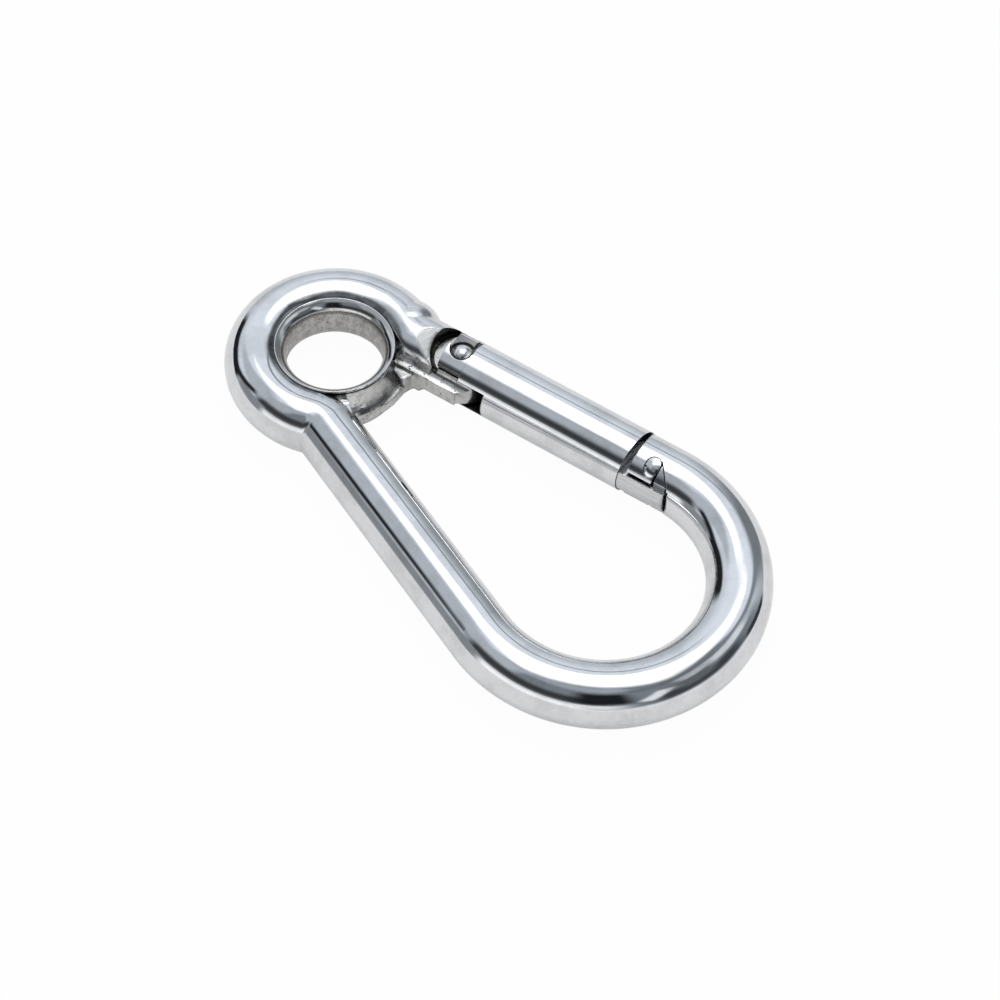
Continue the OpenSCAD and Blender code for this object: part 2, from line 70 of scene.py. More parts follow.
@dataclass
class Sheet:
    """A node tree, the one way to add a node to it, and the sums that finishes and studio share.

    Attributes:
        tree: The node tree.
    """

    tree: bpy.types.NodeTree

    def add(self, kind: str, *values: object, into: dict[str, object] | None = None,
            **settings: object) -> Node:
        """Adds one node, with its settings and links.

        Args:
            kind: The node's type name, without the leading "ShaderNode".
            *values: For each of its sockets in use, a plain value, or the node or socket to link from.
            into: The same for sockets that are named.
            **settings: The node's own properties.

        Returns:
            The new node.
        """
        node = self.tree.nodes.new("ShaderNode" + kind)
        for name, value in settings.items():
            setattr(node, name, value)
        pairs = [*zip((socket for socket in node.inputs if socket.enabled), values),
                 *((node.inputs[name], value) for name, value in (into or {}).items())]
        for socket, value in pairs:
            if isinstance(value, Node):
                value = next(output for output in value.outputs if output.enabled)
            if isinstance(value, bpy.types.NodeSocket):
                self.tree.links.new(value, socket)
            else:
                socket.default_value = value
        return node

    def window(self, value: Source, low: float, high: float, soft: float) -> Source:
        """Is 1 between low and high and falls to 0 over a soft edge outside them.

        Args:
            value: The value that is tested.
            low: Where the window starts.
            high: Where it ends.
            soft: The width of each soft edge.

        Returns:
            The share's node.
        """
        middle, half = (low + high) / 2, (high - low) / 2
        away = self.add("Math", self.add("Math", value, middle, operation="SUBTRACT"), operation="ABSOLUTE")
        return self.add("MapRange", away, half, half + soft, 1.0, 0.0, **SMOOTH)

    def every(self, *shares: Source) -> Source:
        """Multiplies shares.

        Args:
            *shares: The shares, each 0 to 1.

        Returns:
            The product's node, which is 1 only where each of them is.
        """
        result = shares[0]
        for share in shares[1:]:
            result = self.add("Math", result, share, operation="MULTIPLY")
        return result

    def either(self, *shares: Source) -> Source:
        """Takes the greatest of some shares.

        Args:
            *shares: The shares, each 0 to 1.

        Returns:
            The greatest's node.
        """
        result = shares[0]
        for share in shares[1:]:
            result = self.add("Math", result, share, operation="MAXIMUM")
        return result

    def streaks(self, place: Source, turn: Triple, across: float, along: float) -> Node:
        """A pattern of long fine lines, as a wheel or a cutter leaves them.

        Args:
            place: The coordinates, in millimetres.
            turn: How the pattern is turned about x, y and z, in degrees. The lines run along its x.
            across: The width of one line, in millimetres.
            along: Its length, in millimetres.

        Returns:
            The pattern's node, mostly 0.3 to 0.7.
        """
        angles = tuple(math.radians(a) for a in turn)
        laid = self.add("Mapping", into={"Vector": place, "Rotation": angles}, vector_type="TEXTURE")
        scale = (1 / along, 1 / across, 1 / across)
        return Cloud(1.0, rough=0.6).draw(self, self.add("VectorMath", laid, scale, operation="MULTIPLY"))


@dataclass(frozen=True)
class Cloud:
    """A cloudy pattern whose lumps have a real size.

    Attributes:
        size: The size of one lump, in millimetres.
        detail: How many finer layers it has.
        rough: The strength of the finer layers.
    """

    size: float
    detail: float = 2.0
    rough: float = 0.5

    def draw(self, sheet: Sheet, place: Source) -> Node:
        """Draws the pattern.

        Args:
            sheet: The material's nodes.
            place: The point, in millimetres.

        Returns:
            The pattern's node, mostly 0.3 to 0.7.
        """
        return sheet.add("TexNoise", into={"Vector": place, "Scale": 1 / self.size,
                                           "Detail": self.detail, "Roughness": self.rough})


@dataclass(frozen=True)
class Specks:
    """Small dots that lie in loose patches.

    Attributes:
        gap: The mean distance between dots, in millimetres.
        edge: Where a dot's edge starts and ends, as shares of that distance.
        patches: The pattern of the patches.
        span: The levels of that pattern between which the dots come in.
        depth: How deep they lie, in micrometres.
    """

    gap: float
    edge: Span
    patches: Cloud
    span: Span
    depth: float

    def draw(self, sheet: Sheet, place: Source) -> Node:
        """Draws the pattern.

        Args:
            sheet: The material's nodes.
            place: The point, in millimetres.

        Returns:
            The pattern's node, 1 inside a dot.
        """
        spots = sheet.add("TexVoronoi", into={"Vector": place, "Scale": 1 / self.gap, "Randomness": 1.0})
        patches = sheet.add("MapRange", self.patches.draw(sheet, place), *self.span, **SMOOTH)
        return sheet.every(sheet.add("MapRange", spots, *self.edge, **SMOOTH), patches)


# ---- the studio ----


@dataclass(frozen=True)
class Card:
    """A soft-edged panel of the studio, by its place in the sky round the hook.

    Attributes:
        name: What it stands for.
        azimuth: Its middle's azimuth, in degrees from +X towards +Y.
        height: Its middle's elevation, in degrees.
        half_w: Half its width, in degrees.
        half_h: Half its height, in degrees.
        colour: Its colour as an sRGB code.
        soft_w: Width of the soft edge at its sides, in degrees.
        soft_h: Width of the soft edge at its top and bottom, in degrees.
        tilt: How far it leans, in degrees.
    """

    name: str
    azimuth: float
    height: float
    half_w: float
    half_h: float
    colour: str
    soft_w: float = 14.0
    soft_h: float = 8.0
    tilt: float = 0.0

    def share(self, sheet: Sheet, sky: Source) -> Source:
        """Works out how much of the card shows in a direction.

        Args:
            sheet: The world's nodes.
            sky: The azimuth and elevation of the direction, in degrees, as a vector.

        Returns:
            The share's node, 0 to 1.
        """
        near = sheet.add("VectorMath", sky, (self.azimuth, self.height, 0.0), operation="SUBTRACT")
        reach = max(self.half_w + self.soft_w, self.half_h + self.soft_h)
        if abs(self.azimuth) + reach > HALF_TURN:
            near = sheet.add("VectorMath", near, (HALF_TURN, HALF_TURN, 1.0),
                             (-HALF_TURN, -HALF_TURN, -1.0), operation="WRAP")
        if self.tilt:
            near = sheet.add("VectorRotate", into={"Vector": near, "Angle": -math.radians(self.tilt)},
                             rotation_type="Z_AXIS")
        away = sheet.add("VectorMath", near, operation="ABSOLUTE")
        full = (self.half_w, self.half_h, 0.0)
        gone = (self.half_w + self.soft_w, self.half_h + self.soft_h, 1.0)
        edge = sheet.add("MapRange", away, full, gone, (1.0, 1.0, 1.0), (0.0, 0.0, 0.0),
                         data_type="FLOAT_VECTOR", **SMOOTH)
        x, y, _ = sheet.add("SeparateXYZ", edge).outputs
        return sheet.add("Math", x, y, operation="MULTIPLY")


@dataclass(frozen=True)
class Softbox:
    """The big rectangular lamp overhead, by its outline on a plane one metre up.

    Attributes:
        middle: Its middle's x and y, in metres.
        turn: How its first side is turned from +X, in degrees.
        first: Where its glow starts, is full, stays full and ends along its first side.
        second: The same along its second side.
        glow: The brightness of its soft margin.
        core: The brightness of its middle.
        inset: How far the middle lies inside the full glow.
        lowest: The slope over the horizon below which directions count as level.
    """

    middle: Span = (-0.12, 0.26)
    turn: float = 40.0
    first: tuple[float, float, float, float] = (-0.50, -0.38, 0.24, 0.46)
    second: tuple[float, float, float, float] = (-0.52, -0.28, 0.34, 0.46)
    glow: float = 1.3
    core: float = 2.8
    inset: float = 0.06
    lowest: float = 0.02

    def light(self, sheet: Sheet, way: Source, room: Source) -> Source:
        """Lays the lamp over the room.

        Args:
            sheet: The world's nodes.
            way: The direction from the hook.
            room: The room's colour in that direction.

        Returns:
            The colour with the lamp.
        """
        x, y, z = sheet.add("SeparateXYZ", way).outputs
        upward = sheet.add("Math", z, self.lowest, operation="MAXIMUM")
        x, y = (sheet.add("Math", sheet.add("Math", part, upward, operation="DIVIDE"), middle,
                          operation="SUBTRACT") for part, middle in zip((x, y), self.middle))
        flat = sheet.add("CombineXYZ", x, y)
        lean = math.radians(self.turn)
        along, aside = (sheet.add("VectorMath", flat, side, operation="DOT_PRODUCT") for side in (
            (math.cos(lean), math.sin(lean), 0.0), (-math.sin(lean), math.cos(lean), 0.0)))
        sides = ((along, self.first), (aside, self.second))
        glow = sheet.every(*(sheet.every(sheet.add("MapRange", far, low, full, **SMOOTH),
                                         sheet.add("MapRange", far, end, stay, **SMOOTH))
                             for far, (low, full, stay, end) in sides))
        core = sheet.every(*(sheet.window(far, full + self.inset, stay - self.inset, self.inset)
                             for far, (_, full, stay, _) in sides))
        rim = sheet.add("Mix", glow, room, (self.glow, self.glow, self.glow, 1.0), data_type="RGBA")
        return sheet.add("Mix", core, rim, (self.core, self.core, self.core, 1.0), data_type="RGBA")


@dataclass(frozen=True)
class Studio:
    """The floor, the panels round the hook, the softbox and the camera.

    Attributes:
        floor_z: The floor's height, in millimetres.
        floor_size: The floor's side, in metres.
        sensor: The width of the camera's sensor, in millimetres.
        lens: Its focal length, in millimetres.
        eye: The camera's place, in millimetres.
        right: The direction of the frame's right side.
        down: The direction of the frame's lower side.
        clip: The nearest and farthest distance that the camera shows, in metres.
        paper: The floor paper's colour.
        seen_white: The share of pure white in the paper where the camera looks at it.
        mirrored_white: The same where the steel mirrors it.
        walls: The room's colour at the horizon and high up.
        wall_top: The elevation at which the room has its upper colour, in degrees.
        level: The brightness of a panel whose colour is white.
        softbox: The lamp overhead.
        cards: The panels, from the farthest to the nearest.
    """

    floor_z: float = -5.15
    floor_size: float = 12.0
    sensor: float = 36.0
    lens: float = 103.19
    eye: Triple = (200.197, -190.627, 350.725)
    right: Triple = (0.72071, 0.69219, 0.03802)
    down: Triple = (0.57974, -0.57173, -0.58054)
    clip: Span = (0.01, 50.0)
    paper: str = "F2F1EF"
    seen_white: float = 0.97
    mirrored_white: float = 0.45
    walls: tuple[str, str] = ("B0B5BB", "D6DCE4")
    wall_top: float = 45.0
    level: float = 1.25
    softbox: Softbox = Softbox()
    cards: tuple[Card, ...] = (
        Card("left wall", -150, 48, 24, 10, "ABB1B8", 14, 10),
        Card("front haze", -30, 40, 84, 40, "747A80", 22, 14),
        Card("side wall", 90, 16, 8, 14, "72777B", 18, 16),
        Card("front high", -70, 70, 46, 3, "979DA5", 20, 9),
        Card("front left", -120, 55, 12, 6, "A8ADB3", 12, 12),
        Card("unlit room", -85, 31, 38, 3, "37393C", 12, 13),
        Card("camera stand", -42, 40, 10, 12, "1C1E20", 14, 10),
        Card("sweep of the table", -75, -10, 34, 26, "D8D9DA", 20, 5),
        Card("lip of the sweep", -86, 8, 20, 2, "F6F7F8", 16, 5),
        Card("right of the table", 15, -10, 58, 15, "BDC0C3", 14, 5),
        Card("edge of the table", 10, 0, 64, 1, "E0E2E4", 14, 4),
        Card("softbox frame", 22, 60, 36, 1, "686E74", 22, 7),
        Card("frame's right side", 70, 44, 1, 16, "767C82", 9, 12, 50),
        Card("low left wall", -132, 12, 12, 7, "808488", 9, 7),
        Card("dark stand", -148, 21, 2, 15, "1E2023", 8, 9, -42),
        Card("doorway", -171, 7, 17, 9, "1E2023", 7, 6),
        Card("dark chair", 15, 20, 20, 5, "3C3F43", 16, 10),
        Card("back of the chair", 14, 34, 6, 6, "5E6266", 10, 12),
        Card("arm of the chair", 55, 7, 7, 3, "303337", 7, 5, -25),
        Card("window", 46, 42, 9, 4, "CDD1D6", 12, 8, -15),
        Card("wall behind the chair", 21, 49, 6, 3, "A9AEB3", 9, 6),
        Card("strip lamp", -11, 32, 2, 10, "DADCDE", 6, 6, -38),
        Card("boom", 122, 39, 14, 0.6, "7C838B", 8, 2, 18),
    )

    def camera(self) -> bpy.types.Object:
        """Sets up the camera.

        Returns:
            The camera, which the scene renders through.
        """
        data = bpy.data.cameras.new("camera")
        data.sensor_width = self.sensor
        data.lens = self.lens
        data.clip_start, data.clip_end = self.clip
        camera = bpy.data.objects.new("camera", data)
        bpy.context.scene.collection.objects.link(camera)
        across = Vector(self.right).normalized()
        back = across.cross(-Vector(self.down)).normalized()
        upward = back.cross(across)
        turn = Matrix((across, upward, back)).transposed()
        camera.matrix_world = Matrix.LocRotScale(Vector(self.eye) * MM, turn.to_quaternion(), None)
        bpy.context.scene.camera = camera
        return camera

    def floor(self) -> bpy.types.Object:
        """Lays the white floor, which keeps the hook's shadow.

        Returns:
            The floor.
        """
        half = self.floor_size / 2
        around = ((-half, -half), (half, -half), (half, half), (-half, half))
        mesh = bpy.data.meshes.new("floor")
        mesh.from_pydata([(x, y, self.floor_z * MM) for x, y in around], [], [(0, 1, 2, 3)])
        floor = bpy.data.objects.new("floor", mesh)
        bpy.context.scene.collection.objects.link(floor)
        # matt studio paper: white from everywhere, with the hook's faint shadow
        paper = bpy.data.materials.new("floor_paper")
        paper.use_nodes = True
        paper.node_tree.nodes.clear()
        sheet = Sheet(paper.node_tree)
        rays = sheet.add("LightPath").outputs
        seen = sheet.add("Math", rays["Is Camera Ray"], self.seen_white, operation="MULTIPLY")
        share = sheet.add("Math", rays["Is Glossy Ray"], self.mirrored_white, seen,
                          operation="MULTIPLY_ADD")
        matt = sheet.add("BsdfDiffuse", hex_linear(self.paper))
        white = sheet.add("Emission", hex_linear("FFFFFF"), 1.0)
        sheet.add("OutputMaterial", sheet.add("MixShader", share, matt, white))
        mesh.materials.append(paper)
        return floor

    def surroundings(self) -> None:
        """Makes the room round the hook, with its panels and the softbox."""
        world = bpy.data.worlds.new("studio")
        bpy.context.scene.world = world
        world.use_nodes = True
        world.node_tree.nodes.clear()
        sheet = Sheet(world.node_tree)
        way = sheet.add("TexCoord").outputs["Generated"]
        x, y, z = sheet.add("SeparateXYZ", way).outputs
        azimuth = sheet.add("Math", sheet.add("Math", y, x, operation="ARCTAN2"), operation="DEGREES")
        height = sheet.add("Math", sheet.add("Math", z, operation="ARCSINE"), operation="DEGREES")
        sky = sheet.add("CombineXYZ", azimuth, height)
        low_wall, high_wall = (hex_linear(colour) for colour in self.walls)
        climb = sheet.add("MapRange", height, 0.0, self.wall_top, **SMOOTH)
        room = sheet.add("Mix", climb, low_wall, high_wall, data_type="RGBA")
        for card in self.cards:
            room = sheet.add("Mix", card.share(sheet, sky), room, hex_linear(card.colour),
                             data_type="RGBA", label=card.name)
        LOG.info("hung %d panels and the softbox", len(self.cards))
        lit = self.softbox.light(sheet, way, room)
        # the camera itself sees plain white past the floor's edge
        camera_ray = sheet.add("LightPath").outputs["Is Camera Ray"]
        shade = sheet.add("Mix", camera_ray, lit, hex_linear("FFFFFF"), data_type="RGBA")
        sheet.add("OutputWorld", sheet.add("Background", shade, self.level))


# ---- where a finish lies ----


class Gauge(Enum):
    """A measure on the hook by which a zone is bounded, in millimetres or degrees."""

    EYE_R = "distance from the eyelet's axis"
    EYE_ANGLE = "direction from the eyelet's axis"
    HEIGHT = "height over the mid-plane"
    FACE = "distance from the mid-plane"
    RUN = "place along the gate, from the rivet"
    OUT = "place across the gate, outwards"
    TURN_R = "distance from the rivet's axis"
    FACET = "distance from the flat ground behind the hinge"
    SHOULDER = "distance from the gate's shoulder"


@dataclass(frozen=True)
class Limit:
    """Bounds of a zone by one gauge: its lowest and highest value and the width of its soft edge."""

    gauge: Gauge
    low: float
    high: float
    soft: float


@dataclass(frozen=True)
class Layout:
    """The hook's measures that the zones go by, all in millimetres and degrees.

    Attributes:
        hinge: The rivet's place.
        along: The gate's direction.
        facet_at: A point of the ground flat, as its run and its distance from the mid-plane.
        facet_way: The flat's normal, as run, out and distance from the mid-plane.
        shoulder: The shoulder's run at its middle, and how far it leans per millimetre outwards.
    """

    hinge: Vector
    along: Vector
    facet_at: Span = (-4.95, 4.45)
    facet_way: Triple = (0.2843, -0.2334, 0.9299)
    shoulder: Span = (31.625, 0.0833)

    def gauges(self, sheet: Sheet, place: Source) -> dict[Gauge, Source]:
        """Adds the nodes that read every gauge at a point.

        Args:
            sheet: The material's nodes.
            place: The point, in millimetres.

        Returns:
            Each gauge's node.
        """
        x, y, z = sheet.add("SeparateXYZ", place).outputs
        face = sheet.add("Math", z, operation="ABSOLUTE")
        from_hinge = sheet.add("VectorMath", place, tuple(self.hinge), operation="SUBTRACT")
        out_way = (-self.along.y, self.along.x, 0.0)
        run, out = (sheet.add("VectorMath", from_hinge, side, operation="DOT_PRODUCT")
                    for side in (tuple(self.along), out_way))
        turned = sheet.add("CombineXYZ", run, out)
        flat = sheet.add("CombineXYZ", x, y)
        on_face = sheet.add("CombineXYZ", sheet.add("Math", run, self.facet_at[0], operation="SUBTRACT"),
                            out, sheet.add("Math", face, self.facet_at[1], operation="SUBTRACT"))
        lean = sheet.add("Math", out, self.shoulder[1], self.shoulder[0], operation="MULTIPLY_ADD")
        angle = sheet.add("Math", y, x, operation="ARCTAN2")
        return {
            Gauge.EYE_R: sheet.add("VectorMath", flat, operation="LENGTH"),
            Gauge.EYE_ANGLE: sheet.add("Math", angle, operation="DEGREES"),
            Gauge.HEIGHT: z,
            Gauge.FACE: face,
            Gauge.RUN: run,
            Gauge.OUT: out,
            Gauge.TURN_R: sheet.add("VectorMath", turned, operation="LENGTH"),
            Gauge.FACET: sheet.add("VectorMath", on_face, self.facet_way, operation="DOT_PRODUCT"),
            Gauge.SHOULDER: sheet.add("Math", run, lean, operation="SUBTRACT"),
        }


# ---- finishes ----


@dataclass(frozen=True)
class Layer:
    """What a finish gives at each point: its colour, its roughness and its relief in micrometres."""

    colour: Source | Colour
    rough: Number
    relief: Number

    def over(self, sheet: Sheet, share: Source, top: Layer) -> Layer:
        """Lays another finish over this one.

        Args:
            sheet: The material's nodes.
            share: How much of the upper finish shows at each point.
            top: The upper finish.

        Returns:
            The two together.
        """
        return Layer(sheet.add("Mix", share, self.colour, top.colour, data_type="RGBA"),
                     sheet.add("Mix", share, self.rough, top.rough),
                     sheet.add("Mix", share, self.relief, top.relief))


@dataclass(frozen=True)
class MirrorPolish:
    """Stainless steel polished by hand on a soft wheel: bright, with slow waves and faint smears.

    Attributes:
        tint: The steel's colour.
        smear: Its colour where polishing paste left a film; in the rim zone it is a painted dark
            reflection.
        rough: Its roughness where it is cleanest.
        dull: Its roughness under the film.
        waves: The height in micrometres and the length in millimetres of its waves.
        film: The film's pattern.
        fine: The pattern of the fine marks in it.
        fine_share: How much the fine marks add to the film.
        span: The levels of that pattern between which the film comes in.
    """

    tint: str = "E6E7E9"
    smear: str = "D6D7D8"
    rough: float = 0.045
    dull: float = 0.085
    waves: tuple[Span, ...] = ((14.0, 9.0), (0.8, 2.2), (0.06, 0.45))
    film: Cloud = Cloud(6.0, 4.0, 0.65)
    fine: Cloud = Cloud(0.7, 3.0, 0.6)
    fine_share: float = 0.25
    span: Span = (0.52, 0.82)

    def lay(self, sheet: Sheet, place: Source) -> Layer:
        """Builds the finish.

        Args:
            sheet: The material's nodes.
            place: The point, in millimetres.

        Returns:
            The finish at that point.
        """
        fine = sheet.add("Math", self.fine.draw(sheet, place), self.fine_share, operation="MULTIPLY")
        film = sheet.add("Math", self.film.draw(sheet, place), fine, operation="ADD")
        share = sheet.add("MapRange", film, *self.span, **SMOOTH)
        relief: Number = 0.0
        for height, length in self.waves:
            relief = sheet.add("Math", Cloud(length, 1.0).draw(sheet, place), 2 * height, relief,
                               operation="MULTIPLY_ADD")
        tints = hex_linear(self.tint), hex_linear(self.smear)
        return Layer(sheet.add("Mix", share, *tints, data_type="RGBA"),
                     sheet.add("Mix", share, self.rough, self.dull), relief)


@dataclass(frozen=True)
class WheelCut:
    """Steel as a grinding wheel or a milling cutter left it: satin, with fine lines one way.

    The lines are drawn three times as wide as a real wheel's, because those wouldn't show.

    Attributes:
        tint: The colour of the lines' crests.
        groove: The colour between them.
        rough: The roughness of crests and grooves.
        depth: The depth of the lines, in micrometres.
        across: The width of a line, in millimetres.
        along: Its length, in millimetres.
        turn: How the lines are turned from the row's x axis, in degrees.
        broad: How many times as wide the broad bands are, their length in millimetres and their share.
        span: The levels of the lines' pattern between crest and groove.
    """

    tint: str = "D2D3D5"
    groove: str = "8F9194"
    rough: Span = (0.20, 0.36)
    depth: float = 3.0
    across: float = 0.16
    along: float = 5.0
    turn: Triple = (0.0, 0.0, 10.9)
    broad: Triple = (4.0, 9.0, 0.4)
    span: Span = (0.35, 0.65)

    def lay(self, sheet: Sheet, place: Source) -> Layer:
        """Builds the finish.

        Args:
            sheet: The material's nodes.
            place: The point, in millimetres.

        Returns:
            The finish at that point.
        """
        times, length, weight = self.broad
        lines = sheet.streaks(place, self.turn, self.across, self.along)
        bands = sheet.streaks(place, self.turn, self.across * times, length)
        share = sheet.add("MapRange", sheet.add("Mix", weight, lines, bands), *self.span, **SMOOTH)
        tints = hex_linear(self.tint), hex_linear(self.groove)
        return Layer(sheet.add("Mix", share, *tints, data_type="RGBA"),
                     sheet.add("Mix", share, *self.rough),
                     sheet.add("Math", share, -self.depth, operation="MULTIPLY"))


@dataclass(frozen=True)
class ForgedSkin:
    """Drop-forged steel that a tumbler only brightened: uneven, grey in the hollows, with small pits.

    Attributes:
        tint: The colour of its high places.
        shade: The colour of its hollows.
        pit: The colour in its pits.
        rough: The roughness of high places and hollows.
        lumps: The height in micrometres and the length in millimetres of its lumps.
        pits: Its pits.
        pit_rough: The roughness in them.
        cloud: The hollows' pattern.
        span: The levels of that pattern between high places and hollows.
    """

    tint: str = "D4D4D3"
    shade: str = "A3A19D"
    pit: str = "4A4743"
    rough: Span = (0.16, 0.32)
    lumps: tuple[Span, ...] = ((60.0, 2.6), (14.0, 0.9))
    pits: Specks = Specks(0.55, (0.34, 0.14), Cloud(1.6), (0.50, 0.62), depth=18.0)
    pit_rough: float = 0.5
    cloud: Cloud = Cloud(2.2, 4.0, 0.65)
    span: Span = (0.42, 0.66)

    def lay(self, sheet: Sheet, place: Source) -> Layer:
        """Builds the finish.

        Args:
            sheet: The material's nodes.
            place: The point, in millimetres.

        Returns:
            The finish at that point.
        """
        share = sheet.add("MapRange", self.cloud.draw(sheet, place), *self.span, **SMOOTH)
        hole = self.pits.draw(sheet, place)
        relief = sheet.add("Math", hole, -self.pits.depth, operation="MULTIPLY")
        for height, length in self.lumps:
            relief = sheet.add("Math", Cloud(length).draw(sheet, place), 2 * height, relief,
                               operation="MULTIPLY_ADD")
        tints = hex_linear(self.tint), hex_linear(self.shade)
        ground = sheet.add("Mix", share, *tints, data_type="RGBA")
        in_pits = sheet.add("Math", hole, self.pit_rough, operation="MULTIPLY")
        return Layer(sheet.add("Mix", hole, ground, hex_linear(self.pit), data_type="RGBA"),
                     sheet.add("Math", sheet.add("Mix", share, *self.rough), in_pits, operation="MAXIMUM"),
                     relief)


@dataclass(frozen=True)
class DrawnSatin:
    """Sheet steel that a press drew: satin, with faint lines along the draw and dark specks.

    Attributes:
        tint: The colour of the clean metal.
        shade: The colour where drawing rubbed it.
        speck: The colour of its specks.
        rough: The roughness of clean and rubbed metal.
        specks: The specks.
        draw: How the rubbed places' pattern is drawn out, as factors along x, y and z.
        rub: That pattern.
        span: The levels of the pattern between clean and rubbed metal.
        rub_depth: How far drawing pressed the rubbed places in, in micrometres.
    """

    tint: str = "BEBDBB"
    shade: str = "A3A19E"
    speck: str = "3B3936"
    rough: Span = (0.26, 0.36)
    specks: Specks = Specks(0.42, (0.36, 0.16), Cloud(2.4), (0.53, 0.66), depth=6.0)
    draw: Triple = (1.0, 1.0, 0.7)
    rub: Cloud = Cloud(0.9, 4.0, 0.7)
    span: Span = (0.40, 0.66)
    rub_depth: float = 1.0

    def lay(self, sheet: Sheet, place: Source) -> Layer:
        """Builds the finish.

        Args:
            sheet: The material's nodes.
            place: The point, in millimetres.

        Returns:
            The finish at that point.
        """
        drawn = sheet.add("VectorMath", place, self.draw, operation="MULTIPLY")
        rubbed = sheet.add("MapRange", self.rub.draw(sheet, drawn), *self.span, **SMOOTH)
        dots = self.specks.draw(sheet, place)
        tints = hex_linear(self.tint), hex_linear(self.shade)
        ground = sheet.add("Mix", rubbed, *tints, data_type="RGBA")
        pressed = sheet.add("Math", rubbed, -self.rub_depth, operation="MULTIPLY")
        return Layer(sheet.add("Mix", dots, ground, hex_linear(self.speck), data_type="RGBA"),
                     sheet.add("Mix", rubbed, *self.rough),
                     sheet.add("Math", dots, -self.specks.depth, pressed, operation="MULTIPLY_ADD"))


Finish = MirrorPolish | WheelCut | ForgedSkin | DrawnSatin
Areas = tuple[tuple[Limit, ...], ...]


def within(sheet: Sheet, gauges: dict[Gauge, Source], areas: Areas) -> Source:
    """Is 1 at the points that lie in any of some areas.

    Args:
        sheet: The material's nodes.
        gauges: The gauges at the point.
        areas: The areas, each of them bounded by some limits.

    Returns:
        The share's node, 0 to 1.
    """
    return sheet.either(*(
        sheet.every(*(sheet.window(gauges[limit.gauge], limit.low, limit.high, limit.soft)
                      for limit in area))
        for area in areas))


@dataclass(frozen=True)
class Zone:
    """A part of a piece with a finish of its own.

    Attributes:
        finish: The finish.
        areas: The places it lies, each of them bounded by some limits.
        strength: How far the finish covers the one beneath.
    """

    finish: Finish
    areas: Areas
    strength: float = 1.0

    def share(self, sheet: Sheet, gauges: dict[Gauge, Source]) -> Source:
        """Works out the zone's share at a point.

        Args:
            sheet: The material's nodes.
            gauges: The gauges at that point.

        Returns:
            The share's node, 0 to the zone's strength.
        """
        return sheet.add("Math", within(sheet, gauges, self.areas), self.strength, operation="MULTIPLY")


@dataclass(frozen=True)
class Dressing:
    """The material of one piece: its finishes, its broken edges, and the dirt and painted shade in its
    corners.

    Attributes:
        main: The finish of most of the piece.
        zones: The zones, each laid over those before it.
        edge: The radius to which its edges look broken, in millimetres.
        reach: How near two surfaces lie where the corners are darkened, in millimetres.
        dirt_and_shade: The colour of the dirt and painted shade in corners and recesses.
        held: The share of that colour that the steel takes in the deepest corners.
        shut: How much of the sky a corner still sees where the darkening starts, and where it is thickest.
        matt: The roughness that the dirt adds.
        worn: Places whose edges forging and tumbling left rounder.
        worn_edge: The radius to which those look broken, in millimetres.
    """

    main: Finish
    zones: tuple[Zone, ...] = ()
    edge: float = 0.10
    worn: Areas = ()
    worn_edge: float = 0.8
    reach: float = 0.7
    dirt_and_shade: str = "1D1B19"
    held: float = 0.85
    shut: Span = (0.72, 0.30)
    matt: float = 0.3

    def material(self, name: str, layout: Layout) -> bpy.types.Material:
        """Builds the material.

        Args:
            name: Its name.
            layout: The hook's measures.

        Returns:
            The material.
        """
        made = bpy.data.materials.new(name)
        made.use_nodes = True
        made.node_tree.nodes.clear()
        sheet = Sheet(made.node_tree)
        seat = sheet.add("TexCoord").outputs["Object"]
        place = sheet.add("VectorMath", seat, (1 / MM, 1 / MM, 1 / MM), operation="MULTIPLY")
        gauges = layout.gauges(sheet, place)
        layer = self.main.lay(sheet, place)
        for zone in self.zones:
            layer = layer.over(sheet, zone.share(sheet, gauges), zone.finish.lay(sheet, place))
        # painted shade and dirt: ambient occlusion darkens corners, creases and recesses towards a
        # near-black colour, for dirt and for the shade that falls there
        light = sheet.add("AmbientOcclusion", into={"Distance": self.reach * MM}, samples=CORNER_RAYS)
        corner = sheet.add("MapRange", light.outputs["AO"], *self.shut, 0.0, self.held, **SMOOTH)
        radius: Number = self.edge * MM
        if self.worn:
            worn = within(sheet, gauges, self.worn)
            radius = sheet.add("Mix", worn, radius, self.worn_edge * MM)
        broken = sheet.add("Bevel", radius, samples=EDGE_RAYS)
        bump = sheet.add("Bump", into={"Height": layer.relief, "Distance": MICRON, "Strength": 1.0,
                                       "Normal": broken})
        dulled = sheet.add("Math", corner, self.matt, operation="MULTIPLY")
        steel = sheet.add("BsdfPrincipled", into={
            "Base Color": sheet.add("Mix", corner, layer.colour, hex_linear(self.dirt_and_shade), data_type="RGBA"),
            "Metallic": 1.0,
            "Roughness": sheet.add("Math", layer.rough, dulled, operation="ADD"),
            "Normal": bump})
        sheet.add("OutputMaterial", steel)
        return made


def at(*limits: tuple[Gauge, float, float, float]) -> tuple[Limit, ...]:
    """Bounds one area of a zone by gauge, lowest and highest value, and the width of its soft edge."""
    return tuple(Limit(*limit) for limit in limits)


def at_face(gauge: Gauge, place: float, slack: float = 0.04) -> tuple[Gauge, float, float, float]:
    """Bounds an area to one face, which lies at a place on the gauge, with a slack to each side."""
    return (gauge, place - slack, place + slack, FACE_SOFT)


MILLED = WheelCut()
BRIDGE_SKIN = ForgedSkin(tint="DCDCDB", shade="B4B3B0", rough=(0.07, 0.20),
                         lumps=((55.0, 3.2), (5.0, 1.0)))
TONGUE_SKIN = ForgedSkin(tint="CBCBC9", shade="B1B0AD", rough=(0.18, 0.30),
                         lumps=((26.0, 3.0), (2.5, 0.8)),
                         pits=replace(ForgedSkin.pits, gap=0.6, depth=14.0))


